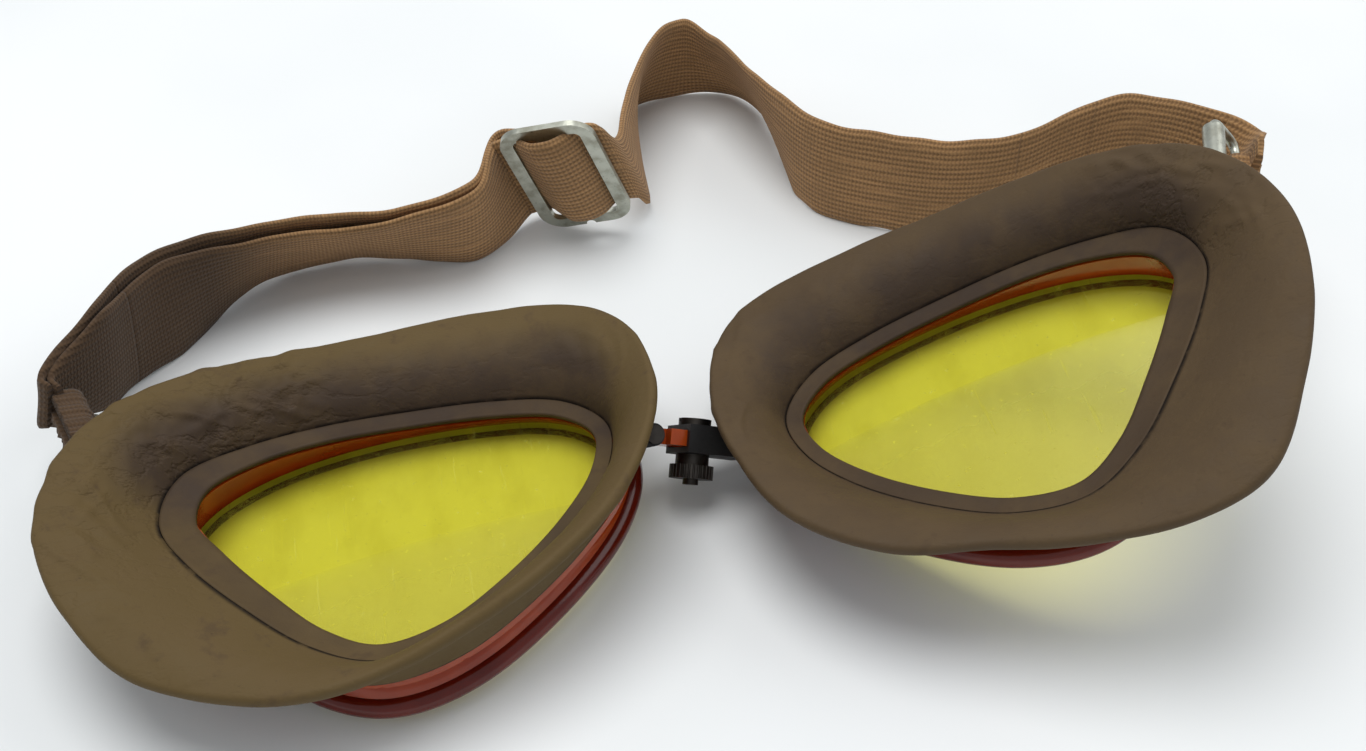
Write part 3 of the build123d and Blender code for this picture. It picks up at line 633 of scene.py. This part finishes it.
def make_cushion(side):
    """The flared rubber face cushion, from its seam over the roll to the rounded edge."""
    places, ways, reach, crest, rim, collar = rim_samples(side)
    inner = collar + seam_gap - aperture_inset
    start = np.stack([inner, seam_rise(collar, rim)], -1)
    end = np.stack([reach, crest], -1)
    span = end - start
    length = np.linalg.norm(span, axis=1, keepdims=True)
    way = span / length
    brow = brow_share(ways)
    rise = start + turned(way, rise_turn + brow_turn * brow) * length * rise_share
    roll = end - turned(way, crest_turn) * length * crest_share
    top = bezier([start, rise, roll, end], np.linspace(0, 1, top_count) ** top_spacing)
    below = end + np.array((0, -skirt_thickness))
    out = np.array((edge_bulge, 0.0))
    edge = bezier([end, end + out, below + out, below], np.linspace(0, 1, edge_count + 2)[1:-1])
    heel = np.stack([inner, rim - collar_thickness], -1)
    foot = np.stack([inner + foot_width, rim - collar_thickness], -1)
    lean = below - foot
    hollow = (foot + below) / 2 + np.stack([-lean[:, 1], lean[:, 0]], -1) * hollow_share
    under = bezier([below, hollow, foot], np.linspace(0, 1, under_count))
    profiles = np.concatenate([top, edge, under, heel[:, None, :]], 1)
    points = on_sections(side, profiles, places, ways)
    normals = surface_normals(points) * (-1 if side == "left" else 1)
    around = np.arange(around_count) / around_count
    across = np.concatenate([
        np.linspace(0, 1, top_count), np.ones(edge_count), np.linspace(1, 0, under_count), [0]
    ])
    relief = np.zeros(points.shape[:2])
    for i in range(around_count):
        for j in range(top_count + edge_count):
            at = Vector(points[i, j])
            for waves, high in (coarse_swell, fine_swell):
                relief[i, j] += noise.noise(at * waves) * high
    creased = top_count + 3
    relief[:, :creased] -= creases(side, around, across[:creased])
    grip = np.clip(across * 4, 0, 1)
    points += normals * (relief * grip[None, :])[..., None]
    made = grid_mesh(f"{side}_face_cushion", metres(points), True, True)
    face_outward(made)
    grid = points.shape[:2]
    carry_values(made, "across", np.broadcast_to(across, grid))
    # Painted shade: the lit weight drops on the brow side towards the seam, where the rubber is
    # painted darker
    carry_values(made, "lit", 1 - brow[:, None] * (1 - across[None, :]))
    middle, spread = wrinkled_places[side]
    nearness = np.exp(-(((around - middle + 0.5) % 1 - 0.5) / spread) ** 2)
    carry_values(made, "wrinkled", np.broadcast_to(0.15 + 0.85 * nearness[:, None], grid))
    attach(made, f"{side}_cup")
    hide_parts(f"{side}_cushion")
    return made


def make_collar(side):
    """The inner strip that holds the cushion to the eyecup, up to the sewn seam."""
    places, ways, _, _, rim, collar = rim_samples(side)
    low = np.stack([np.full_like(rim, -aperture_inset), rim - 0.25], -1)
    high = np.stack([collar - aperture_inset + 0.06, seam_rise(collar, rim) + 0.02], -1)
    bend = low + (high - low) * 0.6 - np.array((0, 0.3))
    top = bezier([low, bend, high], np.linspace(0, 1, collar_count))
    under = np.stack([high - np.array((0, 0.9)), low - np.array((0, 0.75))], 1)
    profiles = np.concatenate([top, under], 1)
    points = on_sections(side, profiles, places, ways)
    made = grid_mesh(f"{side}_inner_collar", metres(points), True, True)
    face_outward(made)
    grid = points.shape[:2]
    across = np.concatenate([np.linspace(0.4, 0.3, collar_count - 1), [0.01, 0.0, 0.3]])
    carry_values(made, "across", np.broadcast_to(across, grid))
    # Painted shade: the collar's colour is lit weight 0.6 on the cheek and darker on the brow side
    carry_values(made, "lit", np.broadcast_to(0.6 - 0.5 * brow_share(ways)[:, None], grid))
    carry_values(made, "wrinkled", np.full(grid, 0.1))
    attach(made, f"{side}_cup")
    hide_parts(f"{side}_cushion_collar")
    return made


# The strap's section
strap_width = 19.0
strap_thickness = 1.2
# Stations of the webbing: x, y, lift of the lower edge, heading and lean of its width in
# degrees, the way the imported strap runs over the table
left_route = [
    (-84.9, 6.6, 2.1, 80, -9),
    (-81.4, 13.0, 1.1, 58, -7),
    (-75.6, 18.9, 0.4, 43, -5),
    (-62.1, 28.8, 0.8, 16, -30),
    (-49.5, 31.5, 0.9, 2, -38),
    (-39.6, 30.5, 0.8, 0, -31),
    (-27.9, 30.8, 0.6, 5, -18),
]
middle_route = [
    (4.3, 65.8, 0.3, 50, -18),
    (12.6, 70.0, 0.3, 0, -13),
    (19.4, 67.2, 0.4, -43, -27),
    (22.9, 59.5, 0.8, -74, -25),
    (25.0, 46.2, 0.3, -85, -14),
    (27.0, 38.2, 0.3, -65, -4),
    (31.5, 32.6, 0.3, -31, 0),
    (41.4, 27.3, 0.3, -25, 0),
    (50.0, 24.0, 0.8, -14, 0),
    (58.1, 21.7, 2.9, -7, 0),
]
# The bend behind the buckle, with its width leaning as the bars do: centre, way of the
# width, and width
bend_rows = [
    [-1.2, 38.6, 10.3, -0.325, -0.235, 0.916, strap_width],
    [0.6, 49.2, 9.6, -0.162, -0.30, 0.94, strap_width],
]
right_route = [
    (64.8, 21.0, 6.3, -3, 0),
    (73.8, 19.6, 9.5, -14, 0),
    (81.5, 13.3, 11.2, -56, 4),
    (85.5, 5.6, 11.8, -72, 27),
]
# The two layers left of the buckle: distance from the route, and lift at each station
layer_offset = 0.85
back_lifts = [0.2, 0.6, 1.0, 0.9, 0.8, 0.0, 0.0]
front_lifts = [0.0, -0.2, -0.1, 0.0, 0.0, 0.0, 0.0]
# The webbing in the buckle: along it, to its front, up its height, and its width there
back_places = [(-9.6, -3.05, -0.6), (-5.25, -3.05), (-1.5, -1.6), (1.2, -1.6)]
front_places = [(-9.6, -1.45, -0.6)]
middle_places = [
    (-9.6, -1.45, -0.6),
    (-6.2, -1.45, 0.0, 19.6),
    (-3.9, 0.4, 0.9, 20.6),
    (-1.8, 2.0, 1.2, 20.8),
    (0.9, 2.2, 1.2, 20.8),
    (3.2, 1.0, 0.9, 20.6),
    (5.2, -1.3, -0.2, 19.6),
    (8.0, -2.4, -1.8),
]
# The webbing at the wire loops: away from the bar, along it, and its bunched width
back_wraps = [(2.8, 4.4, 7.5), (3.2, 6.6, 10.0)]
front_wraps = [(1.5, 4.4, 7.5), (1.8, 6.6, 10.0)]
right_wraps = [(1.95, 8.8, 12.0), (1.95, 5.5, 10.0)]
# The buckle: its middle, its heading over the table, its turn in its own plane and its
# lean to the camera, and from these its own axes
buckle_origin = np.array((-12.5, 34.3, 14.1))
buckle_heading = math.radians(-16)
buckle_turn = math.radians(15)
buckle_lean = math.radians(16)
buckle_ahead = np.array((math.cos(buckle_heading), math.sin(buckle_heading), 0))
buckle_forward = buckle_ahead * math.cos(buckle_turn) + np.array((0, 0, math.sin(buckle_turn)))
upright = np.array((0, 0, math.cos(buckle_turn))) - buckle_ahead * math.sin(buckle_turn)
facing = np.array((math.sin(buckle_heading), -math.cos(buckle_heading), 0))
buckle_up = upright * math.cos(buckle_lean) + facing * math.sin(buckle_lean)
buckle_front = facing * math.cos(buckle_lean) - upright * math.sin(buckle_lean)


def route_row(station, offset, raise_by=0.0):
    """A route station as its centre, the way of its width, and its width."""
    x, y, lift, heading, lean = station
    heading, lean = math.radians(heading), math.radians(lean)
    aside = np.array((math.sin(heading), -math.cos(heading), 0))
    up = np.array((0, 0, 1.0)) * math.cos(lean) - aside * math.sin(lean)
    half = strap_width / 2 * math.cos(lean) + strap_thickness / 2 * abs(math.sin(lean))
    square = aside * math.cos(lean) + np.array((0, 0, math.sin(lean)))
    centre = np.array((x, y, lift + half + raise_by)) + square * offset
    return [*centre, *up, strap_width]


def buckle_row(forward, front, rise=0.0, width=strap_width):
    """A place of the webbing in the buckle: along it, to its front and up its height."""
    place = buckle_origin + buckle_forward * forward + buckle_front * front + buckle_up * rise
    return [*place, *buckle_up, width]


# The wire loops: the ends of a loop's axis on its cup, and its outer bar's distance from it
loop_axis = np.array(((33.7, 4.0), (41.3, 25.5)))
loop_reach = 6.5
# The axis lies below the temple's rim by the collar, its gap, the tongue, the lug's gap and
# half the rolled eye
temple_rim = 11.5
axis_drops = (collar_thickness, 0.15, 1.2, 0.1, 1.2)
# The loops' swings and the folds' slants in degrees, and the folds' shifts along the bars
loop_swings = {"left": 75, "right": -70}
fold_slants = {"left": 20, "right": -25}
fold_shifts = {"left": 4.0, "right": 0.0}


def loop_frame(side):
    """The strap's bar of the wire loop: its middle, its way, out of the fold, and up."""
    along, brow, up = cup_axes(side)
    bar = unit(loop_axis[1] - loop_axis[0])
    out = np.array((bar[1], -bar[0]))
    middle = (loop_axis[0] + loop_axis[1]) / 2
    swing = math.radians(loop_swings[side])
    slant = math.radians(fold_slants[side])
    centre = on_cup(side, middle[0], middle[1], temple_rim - sum(axis_drops))
    bar_way = bar[0] * along + bar[1] * brow
    out_way = out[0] * along + out[1] * brow
    centre = centre + (out_way * math.cos(swing) + up * math.sin(swing)) * loop_reach
    centre = centre + bar_way * fold_shifts[side]
    legs = out_way * math.cos(slant) + up * math.sin(slant)
    lift = np.cross(bar_way, legs) * -temple_signs[side]
    return centre, bar_way, legs, lift


def wrap_row(side, step, reach, width):
    """A place of the webbing beside a loop: away from its bar and along it."""
    centre, bar_way, legs, lift = loop_frame(side)
    return [*(centre + legs * step + bar_way * reach), *lift, width]


# Spacing of the webbing's cross sections, shares of its width that they are made at, steps
# between two stations, the size of the waves in its edges and the bow across it
section_step = 0.55
width_shares = np.linspace(-0.5, 0.5, 17)
station_steps = 40
edge_wave = 0.18
section_bow = 0.25


def strap_piece(name, rows, cut, start_length, seed):
    """Webbing along a smooth line through its stations, between two shares of them."""
    fine = curve_through(rows, False, station_steps * (len(rows) - 1) + 1)
    picked = fine[int(cut[0] * station_steps): int(cut[1] * station_steps) + 1]
    steps = np.linalg.norm(np.diff(picked[:, :3], axis=0), axis=1)
    distance = np.concatenate([[0], np.cumsum(steps)])
    even = np.linspace(0, distance[-1], max(8, int(distance[-1] / section_step)))
    columns = [np.interp(even, distance, column) for column in picked.T]
    centre, up, width = np.stack(columns[:3], -1), unit(np.stack(columns[3:6], -1)), columns[6]
    heading = unit(np.gradient(centre, axis=0))
    front = unit(np.cross(heading, up))
    pick = random.Random(seed)
    phases = [pick.uniform(0, 6.28) for _ in range(6)]
    length = even + start_length

    def edge(first_length, second_length, first_phase, second_phase):
        """A ragged edge: a long wave with a smaller short one on it."""
        first = np.sin(length / first_length + first_phase)
        return edge_wave * (first + 0.6 * np.sin(length / second_length + second_phase))

    edge_high = edge(3.1, 1.3, *phases[0:2])
    edge_low = edge(2.7, 1.15, *phases[2:4])
    ripple = edge_wave * 1.3 * np.sin(length / 4.3 + phases[4])
    rings, flat = [], []
    for face in (1, -1):
        for share in width_shares[::face]:
            ragged = (edge_high if share > 0 else edge_low) * (2 * abs(share)) ** 3
            thin = strap_thickness / 2 * (1 - (2 * abs(share)) ** 10 * 0.55)
            bow = ripple * (2 * share) ** 3 + section_bow * math.cos(share * math.pi)
            high = share * width + ragged
            rings.append(centre + up * high[:, None] + front * (face * thin + bow)[:, None])
            flat.append(np.stack([length, share * width], -1))
    made = grid_mesh(name, metres(np.stack(rings, 1)), False, True)
    face_outward(made)
    lay_weave(made, np.stack(flat, 1).reshape(-1, 2))
    return made, centre, float(distance[-1]), float(width.mean())


def finish_strap(replaced, width, length):
    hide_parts(replaced)
    width * mm
    length * mm


def add_stretch(
    name, node, rows, cut, laid, seed, paint, bodies=None, bunched=True
):
    """Adds one stretch of webbing and gives back the length laid up to its end.

    Where bodies are given it stays where it lies, tied to no body; else it rides the bridge."""
    made, line, length, width = strap_piece(name, rows, cut, laid, seed)
    if bodies:
        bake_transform(made)
    else:
        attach(made, "bridge")
    finish_strap(node, width if bunched else strap_width, length)
    dress(made, paint)
    return laid + length


def make_straps(webbing):
    """The two layers left of the buckle, the run behind the goggles and the right end."""
    paint = webbing["left"]
    for name, node, wraps, offset, lifts, places, seed in (
        ("strap_back_layer", "strap_left", back_wraps, -layer_offset, back_lifts, back_places, 3),
        ("strap_front_layer", "strap_return", front_wraps, layer_offset, front_lifts,
         front_places, 5),
    ):
        rows = [wrap_row("left", *wrap) for wrap in wraps]
        rows += [route_row(station, offset, lift) for station, lift in zip(left_route, lifts)]
        rows += [buckle_row(*place) for place in places]
        cut, bodies = (0, 3), ("left_loop", "left_cup")
        laid = add_stretch(f"{name}_end", node, rows, cut, 0, seed, paint, bodies)
        cut, bodies = (3, len(rows) - 1), ("left_cup", "bridge")
        add_stretch(name, node, rows, cut, laid, seed, paint, bodies, bunched=False)

    paint, seed = webbing["right"], 8
    rows = [buckle_row(*place) for place in middle_places] + bend_rows
    rows += [route_row(station, 0) for station in middle_route]
    last = len(rows) - 1
    rows += [route_row(station, 0) for station in right_route]
    rows += [wrap_row("right", *wrap) for wrap in right_wraps]
    name, node = "strap_middle_run", "strap_middle"
    laid = add_stretch(name, node, rows, (0, last), 0, seed, paint, bunched=False)
    for label, near, far, bodies in (
        ("run", 0, 1.5, ("bridge", "clamp")),
        ("bend", 1.5, 3.5, ("clamp", "right_cup")),
        ("end", 3.5, 6, ("right_cup", "right_loop")),
    ):
        name, cut = f"strap_right_{label}", (last + near, last + far)
        laid = add_stretch(name, "strap_right", rows, cut, laid, seed, paint, bodies)


# The fold round a loop's bar: its width on each side, its inner and outer radius, and the
# length of its legs
fold_widths = {"left": 10.4, "right": 17.0}
fold_radii = (0.95, 2.15)
fold_leg = 2.6


def fold_line(line, radius):
    """The fold's line at a radius; its straight legs keep their length."""
    return [(x if abs(y) == 1.0 and x > 0.3 else x * radius, y * radius) for x, y in line]


def make_wrap(side, paint):
    """The webbing folded round the loop's outer bar, bunched and a little frayed."""
    centre, bar_way, legs, lift = loop_frame(side)
    width = fold_widths[side]
    inner, outer = fold_radii
    angles = np.linspace(math.pi / 2, 3 * math.pi / 2, 19)
    turn = [(math.cos(angle), math.sin(angle)) for angle in angles]
    line = [(fold_leg, 1.0), (fold_leg * 0.5, 1.0), *turn, (fold_leg * 0.5, -1.0), (fold_leg, -1.0)]
    profile = np.array(fold_line(line, inner) + fold_line(line[::-1], outer))
    outside = np.arange(len(profile)) >= len(line)
    reaches = np.linspace(-width / 2, width / 2, 25)
    rings = []
    for reach in reaches:
        swell = 1 + 0.05 * math.sin(reach * 2.3) + 0.04 * math.sin(reach * 5.1)
        swollen = profile * np.where(outside, swell, 1.0)[:, None]
        rings.append(centre + legs * swollen[:, :1] + lift * swollen[:, 1:] + bar_way * reach)
    made = grid_mesh(f"{side}_strap_fold", metres(rings), False, True)
    face_outward(made)
    run = np.concatenate([[0], np.cumsum(np.linalg.norm(np.diff(profile, axis=0), axis=1))])
    lay_weave(made, np.stack(np.meshgrid(reaches, run, indexing="ij")[::-1], -1).reshape(-1, 2))
    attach(made, f"{side}_loop")
    length = math.pi * (inner + outer) / 2 + 2 * fold_leg
    finish_strap(f"{side}_strap_wrap", width, length)
    dress(made, paint)


# Camera, lamps, room and table
place_camera()
bpy.context.scene.view_settings.view_transform = "Standard"
area_light("key light", (-0.1, 0.06, 0.7), 0.5, 3.2)
area_light("fill light", (0.55, 0.1, 0.5), 0.6, 1.2)

world = bpy.data.worlds.new("soft room")
bpy.context.scene.world = world
world.use_nodes = True
sky = world.node_tree.nodes["Background"]
sky.inputs["Color"].default_value = (0.93, 0.96, 1.0, 1.0)
sky.inputs["Strength"].default_value = 0.55

table_half = 3.0
corners = [(x * table_half, y * table_half, 0) for x, y in ((-1, -1), (1, -1), (1, 1), (-1, 1))]
table_mesh = bpy.data.meshes.new("table")
table_mesh.from_pydata(corners, [], [(0, 1, 2, 3)])
table = bpy.data.objects.new("table", table_mesh)
bpy.context.scene.collection.objects.link(table)
dress(table, floor_paint())

# The goggles' materials and pieces
rubber = {
    "left": rubber_paint("left rubber", (90, 73, 42)),
    "right": rubber_paint("right rubber", (79, 63, 43)),
}
webbing_colors = ((172, 133, 90), (120, 91, 61))
# Painted shade on the left end of the webbing, over this length in metres from its start
painted_shade_length = 0.056
webbing = {
    "right": webbing_paint("webbing", *webbing_colors),
    "left": webbing_paint("webbing, left end in painted shade", *webbing_colors, painted_shade_length),
}
nickel = metal_paint("worn nickel", (186, 188, 176), (120, 116, 98), 0.3)
steel = metal_paint("blackened steel", (74, 70, 66), (40, 36, 32), 0.35)
black = metal_paint("black paint on metal", (32, 31, 31), (20, 19, 18), 0.38, 0.4)
shell = plastic_paint(
    "maroon eyecup plastic", (158, 46, 8), (190, 70, 14), (200, 92, 26), 0.4
)
bead = plastic_paint("dark bead plastic", (84, 18, 8), (104, 26, 10), (116, 36, 14), 0.12)
lens = lens_paint()

for side in ("left", "right"):
    dress(make_cushion(side), rubber[side])
    dress(make_collar(side), rubber[side])
    make_wrap(side, webbing[side])
    for node, material in (
        ("eyecup", shell), ("lens", lens), ("lens_rim", bead), ("nose_lug", black),
        ("hinge_pin", steel), ("temple_lug", nickel), ("temple_rivets", nickel),
        ("strap_loop", nickel),
    ):
        dress(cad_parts[f"{side}_{node}"], material)
for node, material in (
    ("bridge_arm", shell), ("bridge_clamp", black), ("bridge_screw", steel),
    ("thumb_nut", steel), ("strap_buckle", nickel),
):
    dress(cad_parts[node], material)
make_straps(webbing)
